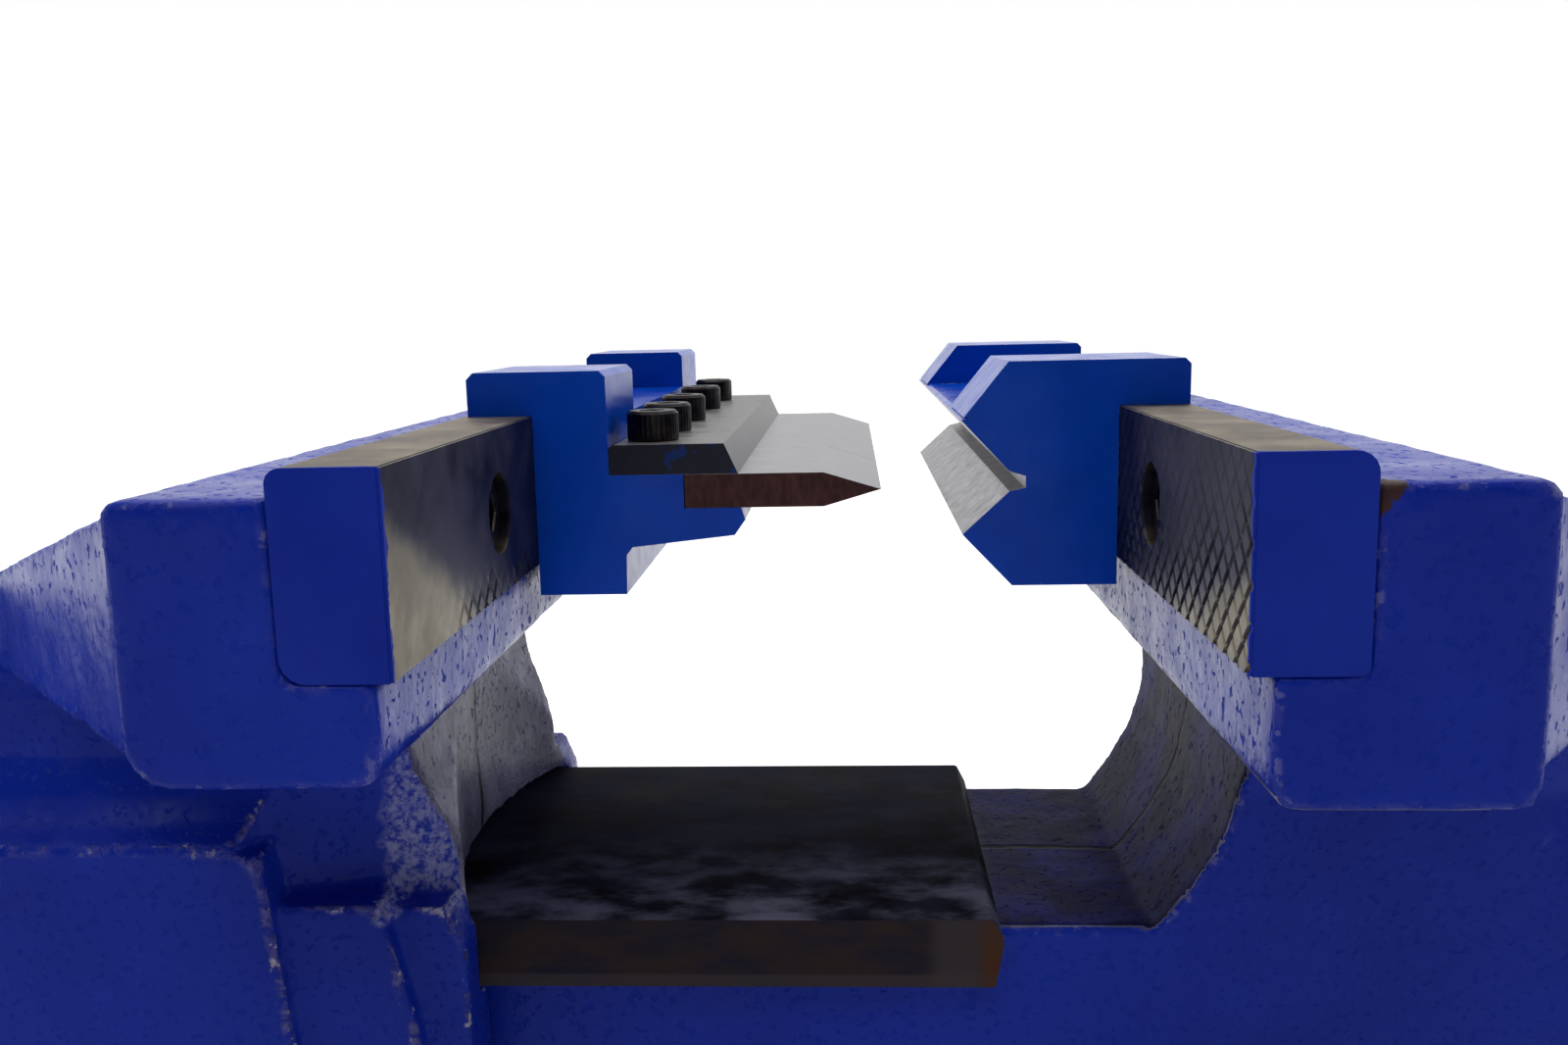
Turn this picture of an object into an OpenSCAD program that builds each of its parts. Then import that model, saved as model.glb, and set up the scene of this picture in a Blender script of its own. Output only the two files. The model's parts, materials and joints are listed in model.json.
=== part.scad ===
// Bench vise with a swivel base, carrying a press-brake bending attachment on its jaws.
// Origin: centre of the swivel base's underside. +X runs from the fixed jaw to the
// moving jaw and the handle, +Y is across the jaws, +Z is up.

/* [Jaws] */
// Width of both jaws
jaw_w = 200; // [180:5:220]
// Height of the jaw tops above the bench
jaw_top = 250; // [246:1:260]
// Opening between the insert faces at rest
rest_gap = 94; // [90:1:96]
// Height of the hardened inserts
insert_h = 24.5; // [22:0.5:25]
// Thickness of the hardened inserts
insert_t = 13; // [12:0.5:14]

/* [Slide and screw] */
// Depth from the jaw tops to the slide
throat_depth = 82.5; // [80:0.5:86]
// Width of the machined slide flange
slide_w = 75; // [74:0.5:75]
// Width of the beam under the flange
beam_w = 66; // [64:1:66]
// Thickness of the machined flange
flange_h = 12; // [10:1:12]
// Radius of the lead screw
screw_r = 14; // [13:0.5:14]

/* [Swivel base] */
// Radius of the base and of the body's foot
base_r = 92; // [90:1:95]
// Height of the base
base_h = 48; // [46:1:48]
// Pitch circle of the bench bolts
bolt_pcd = 210; // [205:1:220]
// Radius of the bench bolt holes
bolt_hole_r = 6.5; // [5.5:0.5:7]

/* [Handle] */
// Length of the bar between its knobs
handle_len = 260; // [220:5:300]
// Radius of the bar
handle_r = 9; // [8:0.5:9]

/* [Bending attachment] */
// Length of the holder and the die along the jaws
brake_len = 127; // [120:1:130]
// Distance from the near jaw end to the attachment
brake_start = 70.5; // [60:0.5:72]
// Length of each end block that hooks over an insert
block_len = 27.3; // [24:0.1:30]
// Thickness of the punch fingers
finger_t = 5.6; // [5:0.1:6]

/* [Hidden] */
$fn = 96;

eps = 0.01;
slip = 0.3;            // gap between sliding castings
running = 0.05;        // radial clearance of a shaft in its bore

gap_x = 150;           // middle of the jaw opening
face_u = rest_gap / 2; // insert face, measured outward from the middle of the opening
back_u = face_u + insert_t;
head_u = back_u + 19;  // back of the jaw head
slide_z = -throat_depth;
flange_z = slide_z - flange_h;

seat_z = base_h + 18;  // top of the body's foot
channel_z = 84;        // floor of the body's channel
beam_z = 92.5;         // underside of the moving beam
cavity_z = 149;        // roof of the hollow in the beam
cavity_w = 46;
screw_z = 122;
rear_x = -120;
beam_tail_x = -80;
nut_x = 5;
nut_len = 60;
nut_w = 40;
nut_bolt_xs = [nut_x - 4, nut_x + nut_len + 4];
nut_bolt_y = 24;
cover_screw_y = 45;
cover_screw_zs = [98, 172];
jaw_bore_x = 255;      // where the beam's hollow ends
nose_x = 315;          // front of the screw boss
washer_t = 4;
head_r = 26;
head_len = 46;
screw_tail_x = -97;
handle_x = nose_x + washer_t + head_len / 2;
knob_r = 15;

slot_r = 68;           // circle of the lock bolts
lock_r = 6;
lever_angle = 145;

insert_screw_y = 51.5;   // screws sit this far each side of the middle
insert_screw_z = -12.5;

throat_r = 89.6;       // hollow of the fixed throat, in plan
throat_u = -21.6;      // its centre

brake_y = brake_start - jaw_w / 2;
face_gap = 0.05;       // air between the attachment and the insert it leans on
seat_u = 9.8;          // clamp bar seat, below the jaw top
screw_places = [8, 26, 50, 81, 110];
clamp_screw_x = -28.5;
finger_lengths = [41.4, 22.4, 62.4];
finger_gap = (brake_len - finger_lengths[0] - finger_lengths[1] - finger_lengths[2]) / 2;
magnet_places = [14, 45, 82, 113];

// outlines of the attachment: X from the middle of the opening, Z from the jaw tops
holder_wall = face_gap - face_u;
holder_body = [[holder_wall, -29.5], [holder_wall, -1], [-34.8, -1], [-34.8, -seat_u],
    [-22.7, -seat_u], [-22.7, -seat_u - finger_t], [-13.4, -seat_u - finger_t], [-12.8, -17.4],
    [-14.6, -19.9], [-31.4, -21.7], [-32.4, -23], [-32.6, -29.5]];
holder_block = [[-57.4, 0], [-57.4, 6], [-56.3, 7.1], [-35.8, 7.1], [-34.8, 6.1], [-34.8, -2],
    [holder_wall, -2], [holder_wall, 0]];
clamp_outline = [[-34.7, -seat_u], [-34.7, -5.4], [-33.8, -4.9], [-16, -4.9], [-13.8, -seat_u]];
finger_outline = [[-22.6, -seat_u - finger_t], [-22.6, -seat_u], [0, -seat_u],
    [9.3, -seat_u - finger_t / 2 - 0.1],
    [0, -seat_u - finger_t]];
die_wall = face_u - face_gap;
die_body = [[die_wall, -28.8], [die_wall, -1.5], [23.1, -1.5], [22, -1.9], [29.7, -10.2],
    [32.3, -11], [32.3, -12.8], [29.7, -13.4], [22.2, -20.3], [23, -21.2], [30.2, -28.8]];
die_block_outline = [[58, 0], [58, 6.4], [57.1, 7.3], [29.5, 7.3], [22.4, -1.5], [die_wall, -1.5],
    [die_wall, 0]];

// Extrude an outline of X and Z along Y, centred
module along_y(outline, w) {
    translate([0, w / 2, 0]) rotate([90, 0, 0]) linear_extrude(w) polygon(outline);
}

// Extrude an outline of X and Z along Y from y0
module from_y(outline, y0, len) {
    translate([0, y0 + len, 0]) rotate([90, 0, 0]) linear_extrude(len) polygon(outline);
}

// Extrude an outline of Y and Z along X
module along_x(outline, x0, x1) {
    translate([x0, 0, 0]) rotate([90, 0, 90]) linear_extrude(x1 - x0) polygon(outline);
}

module rod_x(x0, x1, r, y = 0, z = 0) {
    translate([x0, y, z]) rotate([0, 90, 0]) cylinder(h = x1 - x0, r = r);
}

module rod_y(y0, y1, r, x = 0, z = 0) {
    translate([x, y0, z]) rotate([-90, 0, 0]) cylinder(h = y1 - y0, r = r);
}

module box(low, high) {
    translate(low) cube(high - low);
}

// Place a jaw drawn outward from the opening: side is -1 for fixed, 1 for moving
module at_jaw(side) {
    translate([gap_x, 0, jaw_top]) scale([side, 1, 1]) children();
}

module mirror_y() {
    children();
    mirror([0, 1, 0]) children();
}

// A closed outline from points along one side of its middle line
function both_sides(points) =
    concat(points, [for (i = [len(points) - 1:-1:0]) [points[i][0], -points[i][1]]]);

// Points on a circular arc
function arc(c, r, a0, a1, n = 8) =
    [for (i = [0:n]) [c[0] + r * cos(a0 + (a1 - a0) * i / n), c[1] + r * sin(a0 + (a1 - a0) * i / n)]];

// Jaw head: the wide beam that carries the insert, and the webs behind it
module jaw_head(front_u, bottom_z, heel_r) {
    web_end = head_u + 50;
    along_y(concat(
        [[back_u, -3.4], [back_u, -insert_h], [front_u, -insert_h]],
        arc([front_u + 3, bottom_z + 3], 3, 180, 270, 4),
        arc([head_u - heel_r, bottom_z + heel_r], heel_r, 270, 360, 4),
        arc([head_u - 1.6, -5], 1.6, 0, 90, 4)), jaw_w);
    intersection() {
        linear_extrude(200, center = true) polygon([
            [back_u + 8, jaw_w / 2 - 1], [head_u, jaw_w / 2 - 1], [web_end, 47],
            [web_end, -47], [head_u, 1 - jaw_w / 2], [back_u + 8, 1 - jaw_w / 2]]);
        along_y([[back_u + 6, -5], [head_u, -5], [web_end, -22], [web_end, -36],
            [back_u + 6, bottom_z + 4]], jaw_w + 10);
    }
}

// Holes for the two insert screws
module insert_screw_holes() {
    mirror_y() rod_x(face_u - 1, back_u + 16, 4, insert_screw_y, insert_screw_z);
}

module swivel_base() color("midnightblue") difference() {
    union() {
        cylinder(h = base_h, r = base_r);
        for (a = [45:90:315]) rotate(a) {
            translate([bolt_pcd / 2, 0, 0]) cylinder(h = 20, r = 20);
            box([60, -20, 0], [bolt_pcd / 2, 20, 20]);
        }
    }
    for (a = [45:90:315]) rotate(a) translate([bolt_pcd / 2, 0, -1]) {
        cylinder(h = 30, r = bolt_hole_r);
        translate([0, 0, 17]) cylinder(h = 10, r = 14);
    }
    translate([0, 0, -1]) cylinder(h = base_h + 2, r = 16);
    translate([0, 0, -1]) cylinder(h = 13, r = 26);
    rotate_extrude() polygon([[slot_r - 11, 16], [slot_r + 11, 16], [slot_r + 11, 30],
        [slot_r + 6.7, 30], [slot_r + 6.7, base_h + 1], [slot_r - 6.7, base_h + 1],
        [slot_r - 6.7, 30], [slot_r - 11, 30]]);
}

module pivot_stud() color("dimgray") rotate_extrude()
    polygon([[0, 3], [24, 3], [25, 4], [25, 12], [16, 12], [16, 73], [14, 75], [0, 75]]);

// Fixed jaw, slide housing and round foot in one casting
module body_casting() color("mediumblue") difference() {
    union() {
        at_jaw(-1) {
            jaw_head(face_u + 2.4, -37, 5);
            // neck between the jaw and the housing: its side, its plan and its cross-section
            intersection() {
                along_y(concat(
                    [[face_u + 11.3, slide_z + 0.2], [face_u + 15.3, -66.7], [face_u + 19, -58]],
                    [[face_u + 20.4, -51.9], [face_u + 19, -44], [face_u + 14, -36]],
                    [[back_u + 12, -8], [head_u + 50, -23], [head_u + 92, -40]],
                    [[head_u + 117, -66], [head_u + 117, slide_z - 4], [face_u + 11.3, slide_z - 4]]), 110);
                linear_extrude(240, center = true) polygon(both_sides([[face_u + 8, 31],
                    [face_u + 13, 34.5], [face_u + 18.5, 38.4], [face_u + 25.3, 40.5],
                    [head_u + 10, 45.5], [head_u + 13, 52], [head_u + 120, 52]]));
                along_x([for (p = both_sides([[-90, 52], [-64.2, 52], [-61.8, 48.4], [-58, 45.4],
                    [-52, 43.6], [-43, 43.6], [-35, 48], [-33, 50], [0, 50]])) [p[1], p[0]]],
                    face_u, head_u + 120);
            }
        }
        // stepped nose of the housing
        at_jaw(-1) along_y([[face_u + 14, -77], [face_u + 11.3, slide_z - 1], [face_u + 11.3, -150],
            [face_u + 30, -180], [face_u + 60, -180], [face_u + 60, -77]], 90);
        at_jaw(-1) along_y([[face_u + 23.6, -75], [face_u + 18.5, -96.6], [face_u + 18.5, -145],
            [face_u + 36, -182], [face_u + 66, -182], [face_u + 66, -75]], 98);
        at_jaw(-1) along_y([[face_u + 40.8, -65.5], [face_u + 37.4, -96.6], [face_u + 36, -140],
            [face_u + 52, -184], [gap_x - rear_x - 40, -184], [gap_x - rear_x, -174], [gap_x - rear_x, -69],
            [gap_x - rear_x - 4, -65.5]], 104);
        translate([0, 0, base_h]) cylinder(h = seat_z - base_h + eps, r = base_r);
        mirror_y() translate([0, slot_r, seat_z]) cylinder(h = 3, r = 15);
    }
    // hollow throat, curved in plan
    at_jaw(-1) translate([throat_u, 0, slide_z]) cylinder(h = throat_depth - 42, r = throat_r);
    // channel for the slide
    along_x([[-slide_w / 2 - slip, jaw_top + slide_z + slip], [slide_w / 2 + slip, jaw_top + slide_z + slip],
        [slide_w / 2 + slip, jaw_top + flange_z - slip], [beam_w / 2 + slip, jaw_top + flange_z - slip],
        [beam_w / 2 + slip, channel_z], [-beam_w / 2 - slip, channel_z],
        [-beam_w / 2 - slip, jaw_top + flange_z - slip],
        [-slide_w / 2 - slip, jaw_top + flange_z - slip]], rear_x - 1, gap_x);
    at_jaw(-1) insert_screw_holes();
    translate([0, 0, base_h - 1]) cylinder(h = 29, r = 16 + running);
    mirror_y() translate([0, slot_r, base_h - 1]) cylinder(h = 30, r = lock_r + running);
    for (x = nut_bolt_xs) mirror_y() translate([x, nut_bolt_y, 70]) cylinder(h = 20, r = 4);
    for (z = cover_screw_zs) mirror_y() rod_x(rear_x - 1, rear_x + 14, 2.5, cover_screw_y, z);
}

module rear_cover() color("darkslategray") difference() {
    along_x([[-50, 88], [-46, 84], [46, 84], [50, 88], [50, 178], [46, 182], [-46, 182], [-50, 178]],
        rear_x - 4, rear_x);
    for (z = cover_screw_zs) mirror_y() rod_x(rear_x - 5, rear_x + 1, 2.5, cover_screw_y, z);
}

module rear_cover_screws() color("gray") for (z = cover_screw_zs) mirror_y() {
    rod_x(rear_x - 4, rear_x + 12, 2.5, cover_screw_y, z);
    difference() {
        rod_x(rear_x - 8, rear_x - 4 + eps, 4.6, cover_screw_y, z);
        rod_x(rear_x - 9, rear_x - 6, 2.3, cover_screw_y, z, $fn = 6);
    }
}

module screw_nut() color("darkgoldenrod") difference() {
    union() {
        box([nut_x, -nut_w / 2, channel_z], [nut_x + nut_len, nut_w / 2, 144]);
        box([nut_x - 12, -31, channel_z], [nut_x + nut_len + 12, 31, channel_z + 7]);
    }
    rod_x(nut_x - 20, nut_x + nut_len + 20, screw_r + running, 0, screw_z);
    for (x = nut_bolt_xs) mirror_y() translate([x, nut_bolt_y, channel_z - 1]) {
        cylinder(h = 10, r = 4);
        translate([0, 0, 2.5]) cylinder(h = 10, r = 7);
    }
}

module nut_bolts() color("gray") for (x = nut_bolt_xs) mirror_y() translate([x, nut_bolt_y, 0]) difference() {
    union() {
        translate([0, 0, 70.5]) cylinder(h = 16, r = 4);
        translate([0, 0, channel_z + 1.5]) cylinder(h = 5, r = 6.5);
    }
    translate([0, 0, channel_z + 3.5]) cylinder(h = 4, r = 3, $fn = 6);
}

// Hardened insert with relieved edges and counterbored screw holes
module jaw_insert(side) at_jaw(side) difference() {
    intersection() {
        along_y([[face_u, -insert_h + 0.6], [face_u, -1], [face_u + 1, 0], [back_u - 1.2, 0],
            [back_u, -1.2], [back_u, -insert_h], [face_u + 0.6, -insert_h]], jaw_w);
        along_x([[-jaw_w / 2, -1], [-jaw_w / 2 + 1, 0], [jaw_w / 2 - 1, 0], [jaw_w / 2, -1],
            [jaw_w / 2, -insert_h + 2], [jaw_w / 2 - 2, -insert_h],
            [-jaw_w / 2 + 2, -insert_h], [-jaw_w / 2, -insert_h + 2]], face_u - 1, back_u + 1);
    }
    insert_screw_holes();
    mirror_y() rod_x(face_u - 1, face_u + 8, 6, insert_screw_y, insert_screw_z);
}

module fixed_jaw_insert() color("silver") jaw_insert(-1);
module moving_jaw_insert() color("silver") jaw_insert(1);

module insert_screws(side) at_jaw(side) mirror_y() difference() {
    union() {
        rod_x(face_u + 1.5, face_u + 8, 5.7, insert_screw_y, insert_screw_z);
        rod_x(face_u + 7, back_u + 15, 4, insert_screw_y, insert_screw_z);
    }
    rod_x(face_u, face_u + 5, 2.9, insert_screw_y, insert_screw_z, $fn = 6);
}

module fixed_insert_screws() color("dimgray") insert_screws(-1);
module moving_insert_screws() color("dimgray") insert_screws(1);

// Moving jaw, its neck, and the slide beam with the machined flange
module moving_jaw_casting() color("mediumblue") difference() {
    union() {
        at_jaw(1) {
            jaw_head(face_u + 3, -40, 2.5);
            intersection() {
                along_y(concat(
                    [[face_u + 5.6, slide_z - 3.5], [face_u + 6.7, -85.8], [face_u + 11.8, -78.6]],
                    [[face_u + 15.4, -72.6], [face_u + 17.6, -66.5], [face_u + 18.8, -60]],
                    [[face_u + 19.2, -54], [face_u + 18.5, -47], [face_u + 14, -38], [back_u + 12, -8]],
                    [[head_u + 50, -23], [head_u + 72, -52], [head_u + 80, -98]],
                    [[head_u + 80, beam_z - jaw_top], [face_u + 5.6, beam_z - jaw_top]]), 110);
                along_x([[-33.5, beam_z - jaw_top], [33.5, beam_z - jaw_top], [33.5, slide_z - 3.5],
                    [36, -62], [50, -38], [50, 0], [-50, 0], [-50, -38], [-36, -62],
                    [-33.5, slide_z - 3.5]], 0, head_u + 90);
            }
        }
        // painted beam under the flange, then the lower floor in front of it
        box([beam_tail_x, -beam_w / 2, beam_z], [gap_x + 60, beam_w / 2, jaw_top + slide_z - 3.5]);
        // machined flange with its sloping end
        along_y([[beam_tail_x, jaw_top + flange_z], [gap_x + 27, jaw_top + flange_z],
            [gap_x + 28.4, jaw_top + slide_z - 4], [gap_x + 26.6, jaw_top + slide_z],
            [beam_tail_x, jaw_top + slide_z]], slide_w);
        rod_x(jaw_bore_x, nose_x, 32, 0, screw_z);
    }
    // hollow of the beam
    box([beam_tail_x - 1, -cavity_w / 2, beam_z - 1], [jaw_bore_x, cavity_w / 2, cavity_z]);
    rod_x(jaw_bore_x - 1, nose_x + 1, screw_r + running, 0, screw_z);
    at_jaw(1) insert_screw_holes();
}

module lead_screw() color("gray") difference() {
    union() {
        rod_x(screw_tail_x, nose_x + washer_t + eps, screw_r, 0, screw_z);
        translate([nose_x + washer_t, 0, screw_z]) rotate([0, 90, 0]) rotate_extrude()
            polygon(concat([[0, 0], [22, 0]], arc([head_r - 3, 3], 3, -90, 0, 3),
                arc([head_r - 8, head_len - 8], 8, 0, 90, 5), [[0, head_len]]));
    }
    rod_y(-40, 40, handle_r + slip, handle_x, screw_z);
    translate([jaw_bore_x - 6.3, 0, screw_z - 30]) cylinder(h = 60, r = 2.5);
}

module thrust_washer() color("darkgray") difference() {
    rod_x(nose_x, nose_x + washer_t, 25, 0, screw_z);
    rod_x(nose_x - 1, nose_x + washer_t + 1, screw_r + running, 0, screw_z);
}

module retaining_collar() color("dimgray") difference() {
    rod_x(jaw_bore_x - 12.3, jaw_bore_x - 0.3, 21, 0, screw_z);
    rod_x(jaw_bore_x - 20, jaw_bore_x + 1, screw_r, 0, screw_z);
    translate([jaw_bore_x - 6.3, 0, screw_z - 30]) cylinder(h = 60, r = 2.5);
}

module collar_pin() color("silver")
    translate([jaw_bore_x - 6.3, 0, screw_z - 20]) cylinder(h = 40, r = 2.5);

module handle_bar() color("lightgray") rod_y(-handle_len / 2, handle_len / 2, handle_r, handle_x, screw_z);

// Turned knob pressed on the bar's end
module handle_knob(side) color("gray")
    translate([handle_x, side * (handle_len / 2 - 12), screw_z]) rotate([-90 * side, 0, 0]) difference() {
        rotate_extrude() polygon(concat([[0, 0], [knob_r - 4, 0]],
            arc([0, knob_r - 1], knob_r, -50, 90, 10)));
        translate([0, 0, -1]) cylinder(h = 13, r = handle_r);
    }

module near_handle_knob() handle_knob(-1);
module far_handle_knob() handle_knob(1);

// T-headed bolt that clamps the body to the base
module lock_bolt(side) color("dimgray") translate([0, side * slot_r, 0]) {
    translate([0, 0, 19]) cylinder(h = 8, r = 10);
    translate([0, 0, 26]) cylinder(h = 66, r = lock_r);
}

module near_lock_bolt() lock_bolt(-1);
module far_lock_bolt() lock_bolt(1);

// Lever nut on the lock bolt
module lock_lever(side) color("gray") translate([0, side * slot_r, seat_z + 3]) difference() {
    union() {
        cylinder(h = 16, r = 13);
        rotate(side * lever_angle) translate([0, 0, 8]) rotate([0, 78, 0]) {
            cylinder(h = 72, r1 = 6, r2 = 4.5);
            translate([0, 0, 74]) sphere(r = 8);
        }
    }
    translate([0, 0, -1]) cylinder(h = 18, r = lock_r + running);
}

module near_lock_lever() lock_lever(-1);
module far_lock_lever() lock_lever(1);

// One outline of the attachment, as a solid between two distances from its near end
module brake_part(outline, start, len)
    translate([gap_x, 0, jaw_top]) from_y(outline, brake_y + start, len);

module end_blocks(outline) {
    brake_part(outline, 0, block_len);
    brake_part(outline, brake_len - block_len, block_len);
}

// Round holes or magnets in the wall that faces an insert
module magnet_row(x0, x1, r) for (y = magnet_places)
    rod_x(gap_x + x0, gap_x + x1, r, brake_y + y, jaw_top - 15.5);

module punch_holder() color("royalblue") difference() {
    union() {
        brake_part(holder_body, 0, brake_len);
        end_blocks(holder_block);
    }
    for (y = screw_places) translate([gap_x + clamp_screw_x, brake_y + y, jaw_top - 18])
        cylinder(h = 12, r = 2.5);
    magnet_row(holder_wall - 1, holder_wall + 5, 5);
}

module clamp_bar() color("slategray") difference() {
    brake_part(clamp_outline, 0, brake_len);
    for (y = screw_places) translate([gap_x + clamp_screw_x, brake_y + y, jaw_top - 18])
        cylinder(h = 20, r = 2.5);
}

module clamp_screws() color("black") for (y = screw_places)
    translate([gap_x + clamp_screw_x, brake_y + y, jaw_top]) difference() {
        union() {
            translate([0, 0, -17.5]) cylinder(h = 13, r = 2.5);
            translate([0, 0, -4.9]) cylinder(h = 5, r = 4.3);
        }
        translate([0, 0, -2.4]) cylinder(h = 4, r = 2.3, $fn = 6);
    }

module punch_finger(start, len) color("lightsteelblue") brake_part(finger_outline, start, len);

module near_punch_finger() punch_finger(0, finger_lengths[0]);
module middle_punch_finger() punch_finger(finger_lengths[0] + finger_gap, finger_lengths[1]);
module far_punch_finger() punch_finger(brake_len - finger_lengths[2], finger_lengths[2]);

module holder_magnets() color("gainsboro") magnet_row(holder_wall + 0.2, holder_wall + 5, 5);

module die_block() color("royalblue") difference() {
    union() {
        brake_part(die_body, 0, brake_len);
        end_blocks(die_block_outline);
    }
    magnet_row(die_wall - 5, die_wall + 1, 5);
}

module die_magnets() color("gainsboro") magnet_row(die_wall - 5, die_wall - 0.2, 5);

swivel_base();
pivot_stud();
body_casting();
rear_cover();
rear_cover_screws();
screw_nut();
nut_bolts();
fixed_jaw_insert();
fixed_insert_screws();
moving_jaw_casting();
moving_jaw_insert();
moving_insert_screws();
lead_screw();
thrust_washer();
retaining_collar();
collar_pin();
handle_bar();
near_handle_knob();
far_handle_knob();
near_lock_bolt();
far_lock_bolt();
near_lock_lever();
far_lock_lever();
punch_holder();
clamp_bar();
clamp_screws();
near_punch_finger();
middle_punch_finger();
far_punch_finger();
holder_magnets();
die_block();
die_magnets();
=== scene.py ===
import json
import math

import bmesh
import bpy
from mathutils.noise import noise as noiseAt
from mathutils import Matrix, Vector


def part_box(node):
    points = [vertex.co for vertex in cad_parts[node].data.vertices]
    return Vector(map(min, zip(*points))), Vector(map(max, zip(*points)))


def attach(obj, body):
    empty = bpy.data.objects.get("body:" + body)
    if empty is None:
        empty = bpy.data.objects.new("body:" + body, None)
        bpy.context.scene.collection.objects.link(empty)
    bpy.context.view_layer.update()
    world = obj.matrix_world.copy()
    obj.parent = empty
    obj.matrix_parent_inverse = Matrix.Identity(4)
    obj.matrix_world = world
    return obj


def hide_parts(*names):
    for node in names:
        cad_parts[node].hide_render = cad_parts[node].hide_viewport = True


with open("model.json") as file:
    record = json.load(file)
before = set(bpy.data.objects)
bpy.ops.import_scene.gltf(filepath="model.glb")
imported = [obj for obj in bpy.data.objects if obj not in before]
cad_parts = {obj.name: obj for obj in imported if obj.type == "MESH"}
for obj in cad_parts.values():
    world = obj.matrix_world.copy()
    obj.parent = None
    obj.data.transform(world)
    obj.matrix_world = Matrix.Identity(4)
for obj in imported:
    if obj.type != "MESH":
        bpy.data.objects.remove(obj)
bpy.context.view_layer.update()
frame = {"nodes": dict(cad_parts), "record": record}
print("frame loaded")

mm = 0.001
white = (1.0, 1.0, 1.0, 1.0)
wholePart = {name: body for body, names in frame["record"]["behaviour"]["bodies"].items() for name in names}
slotOf = {entry["node"]: entry["material_slot"] for entry in frame["record"]["subparts"]}

# places read from the frame, used by more than one piece
fixedLow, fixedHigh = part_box("fixed_jaw_insert")
movingLow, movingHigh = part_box("moving_jaw_insert")
gapX = (fixedHigh.x + movingLow.x) / 2
jawTop = fixedHigh.z
nearEnd = fixedLow.y
print("gap centre", round(gapX, 4), "jaw top", round(jawTop, 4))


def startMaterial(name, roughness, metallic=0.0):
    material = bpy.data.materials.new(name)
    material.use_nodes = True
    tree = material.node_tree
    shader = tree.nodes["Principled BSDF"]
    shader.inputs["Roughness"].default_value = roughness
    shader.inputs["Metallic"].default_value = metallic
    place = tree.nodes.new("ShaderNodeTexCoord")
    return material, tree, shader, place.outputs["Object"]


def noise(tree, place, size, detail=4.0, rough=0.55, stretch=(1, 1, 1), distortion=0.0):
    # size is the width of one blotch, in metres
    mapping = tree.nodes.new("ShaderNodeMapping")
    mapping.inputs["Scale"].default_value = stretch
    tree.links.new(place, mapping.inputs["Vector"])
    node = tree.nodes.new("ShaderNodeTexNoise")
    node.inputs["Scale"].default_value = 1 / size
    node.inputs["Detail"].default_value = detail
    node.inputs["Roughness"].default_value = rough
    node.inputs["Distortion"].default_value = distortion
    tree.links.new(mapping.outputs["Vector"], node.inputs["Vector"])
    return node.outputs["Fac"]


def ramp(tree, value, stops, smooth=True):
    # stops are (position, grey or colour)
    node = tree.nodes.new("ShaderNodeValToRGB")
    node.color_ramp.interpolation = "EASE" if smooth else "LINEAR"
    elements = node.color_ramp.elements
    while len(elements) < len(stops):
        elements.new(0.5)
    for element, (position, tone) in zip(elements, stops):
        element.position = position
        element.color = tone if isinstance(tone, tuple) else (tone, tone, tone, 1.0)
    tree.links.new(value, node.inputs["Fac"])
    return node.outputs["Color"]


def mixColour(tree, amount, first, second, blend="MIX"):
    node = tree.nodes.new("ShaderNodeMix")
    node.data_type = "RGBA"
    node.blend_type = blend
    for socket, value in ((node.inputs[0], amount), (node.inputs[6], first), (node.inputs[7], second)):
        if isinstance(value, (tuple, float, int)):
            socket.default_value = value
        else:
            tree.links.new(value, socket)
    return node.outputs[2]


def blotches(tree, place, size, span, detail=4.0, rough=0.55, stretch=(1, 1, 1), distortion=0.0):
    # 0 outside the blotches and 1 inside them; span is where the noise turns from one to the other
    spots = noise(tree, place, size, detail, rough, stretch, distortion)
    return ramp(tree, spots, [(span[0], 0.0), (span[1], 1.0)])


def maths(tree, kind, first, second=0.0, clamp=False):
    node = tree.nodes.new("ShaderNodeMath")
    node.operation = kind
    node.use_clamp = clamp
    for socket, value in ((node.inputs[0], first), (node.inputs[1], second)):
        if isinstance(value, (float, int)):
            socket.default_value = value
        else:
            tree.links.new(value, socket)
    return node.outputs[0]


def times(tree, first, second):
    return maths(tree, "MULTIPLY", first, second)


def wander(tree, place, size, detail, rough, reach):
    # a small ragged shift either way, for the border of a mark
    return times(tree, maths(tree, "SUBTRACT", noise(tree, place, size, detail, rough), 0.5), reach)


def lay(tree, under, over, mask, amount):
    # one colour laid thinly over another where the mask is 1
    return mixColour(tree, times(tree, mask, amount), under, over)


def separate(tree, vector):
    split = tree.nodes.new("ShaderNodeSeparateXYZ")
    tree.links.new(vector, split.inputs["Vector"])
    return split.outputs


def bump(tree, shader, layers):
    # layers are (height, strength, depth in metres), each resting on the one before
    normal = None
    for height, strength, depth in layers:
        node = tree.nodes.new("ShaderNodeBump")
        node.inputs["Strength"].default_value = strength
        node.inputs["Distance"].default_value = depth
        tree.links.new(height, node.inputs["Height"])
        if normal is not None:
            tree.links.new(normal, node.inputs["Normal"])
        normal = node.outputs["Normal"]
    tree.links.new(normal, shader.inputs["Normal"])


def surfaceMark(tree, name):
    # a number stored on the mesh, such as "edge" on broken edges or "grime" in the throats
    node = tree.nodes.new("ShaderNodeAttribute")
    node.attribute_name = name
    return node.outputs["Fac"]


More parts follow.
